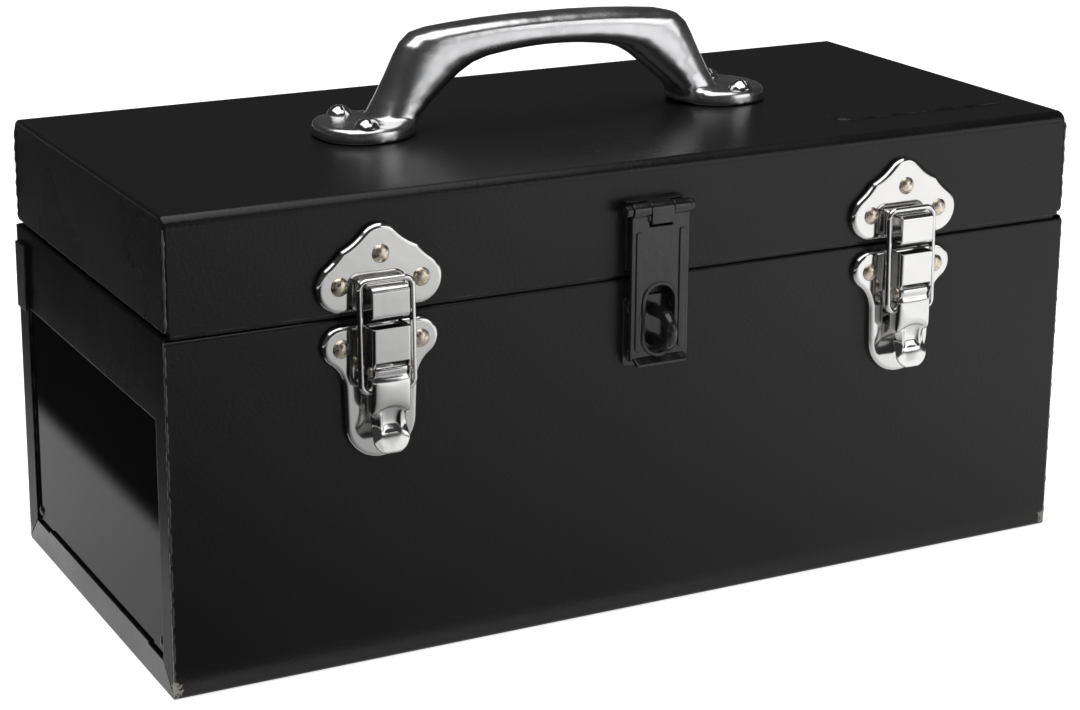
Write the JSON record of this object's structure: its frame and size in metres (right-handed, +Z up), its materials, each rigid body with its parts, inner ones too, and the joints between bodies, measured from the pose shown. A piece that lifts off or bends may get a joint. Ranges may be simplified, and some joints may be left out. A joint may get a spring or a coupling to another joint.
{
  "type": "metal tool box",
  "caption": "Black steel tool box with a hinged lid, cast carrying handle, draw latches, padlock hasp and lift-out tray.",
  "frame": {"origin": "centre of the box's flat base, where it meets the surface that it stands on", "axes": "+X along the box's length, -Y out of its front with the latches, +Z up"},
  "size_m": [0.4018, 0.2044, 0.2276],
  "materials": {
    "black_paint": "satin powder coat with a fine orange-peel texture",
    "gloss_black": "gloss black enamel",
    "chrome_plate": "bright plated pressed steel",
    "nickel_rivet": "dull warm nickel",
    "polished_cast": "polished casting",
    "bright_screw": "bright plated",
    "zinc_steel": "dull zinc plate"
  },
  "bodies": {
    "case": {"body_shell": "black_paint", "end_panel_left": "black_paint", "end_panel_right": "black_paint", "end_panel_rivets": "black_paint", "hinge_leaf_body": "black_paint", "hinge_pin": "zinc_steel", "hinge_rivets_body": "black_paint", "staple_plate": "gloss_black", "staple_plate_rivets": "gloss_black", "hasp_staple": "gloss_black", "tray_rest_left": "black_paint", "tray_rest_right": "black_paint", "latch_base_left": "chrome_plate", "latch_bracket_left": "chrome_plate", "latch_pivot_left": "nickel_rivet", "latch_base_rivets_left": "nickel_rivet", "latch_base_right": "chrome_plate", "latch_bracket_right": "chrome_plate", "latch_pivot_right": "nickel_rivet", "latch_base_rivets_right": "nickel_rivet"},
    "lid": {"lid_shell": "black_paint", "hinge_leaf_lid": "black_paint", "hinge_rivets_lid": "black_paint", "carry_handle": "polished_cast", "handle_screws": "bright_screw", "handle_washers": "zinc_steel", "handle_nuts": "zinc_steel", "hasp_leaf": "gloss_black", "hasp_leaf_rivets": "gloss_black", "hasp_pin": "gloss_black", "keeper_plate_left": "chrome_plate", "keeper_hook_left": "chrome_plate", "keeper_rivets_left": "nickel_rivet", "keeper_plate_right": "chrome_plate", "keeper_hook_right": "chrome_plate", "keeper_rivets_right": "nickel_rivet"},
    "left_lever": {"latch_lever_left": "chrome_plate"},
    "left_bail": {"latch_bail_left": "chrome_plate"},
    "right_lever": {"latch_lever_right": "chrome_plate"},
    "right_bail": {"latch_bail_right": "chrome_plate"},
    "hasp": {"hasp_strap": "gloss_black"},
    "tray": {"tray_pan": "black_paint", "tray_strap": "zinc_steel", "tray_rivets": "black_paint"}
  },
  "joints": [
    {"name": "lid_hinge", "type": "hinge", "parent": "case", "child": "lid", "pos_m": [0, 0.0934, 0.1395], "axis": [-1, 0, 0], "range_deg": [0, 110]},
    {"name": "left_lever_pivot", "type": "hinge", "parent": "case", "child": "left_lever", "pos_m": [-0.1167, -0.1005, 0.1195], "axis": [-1, 0, 0], "range_deg": [0, 95]},
    {"name": "left_bail_pivot", "type": "hinge", "parent": "left_lever", "child": "left_bail", "pos_m": [-0.1167, -0.0991, 0.1115], "axis": [-1, 0, 0], "range_deg": [-105, 0]},
    {"name": "right_lever_pivot", "type": "hinge", "parent": "case", "child": "right_lever", "pos_m": [0.1167, -0.1005, 0.1195], "axis": [-1, 0, 0], "range_deg": [0, 95]},
    {"name": "right_bail_pivot", "type": "hinge", "parent": "right_lever", "child": "right_bail", "pos_m": [0.1167, -0.0991, 0.1115], "axis": [-1, 0, 0], "range_deg": [-105, 0]},
    {"name": "hasp_hinge", "type": "hinge", "parent": "lid", "child": "hasp", "pos_m": [0, -0.0957, 0.1665], "axis": [-1, 0, 0], "range_deg": [0, 170]},
    {"name": "tray_lift", "type": "slide", "parent": "case", "child": "tray", "axis": [0, 0, 1], "range_m": [0, 0.026]}
  ],
  "couplings": [
    {"joint": "left_bail_pivot", "follows": "left_lever_pivot", "ratio": -1.1},
    {"joint": "right_bail_pivot", "follows": "right_lever_pivot", "ratio": -1.1}
  ]
}
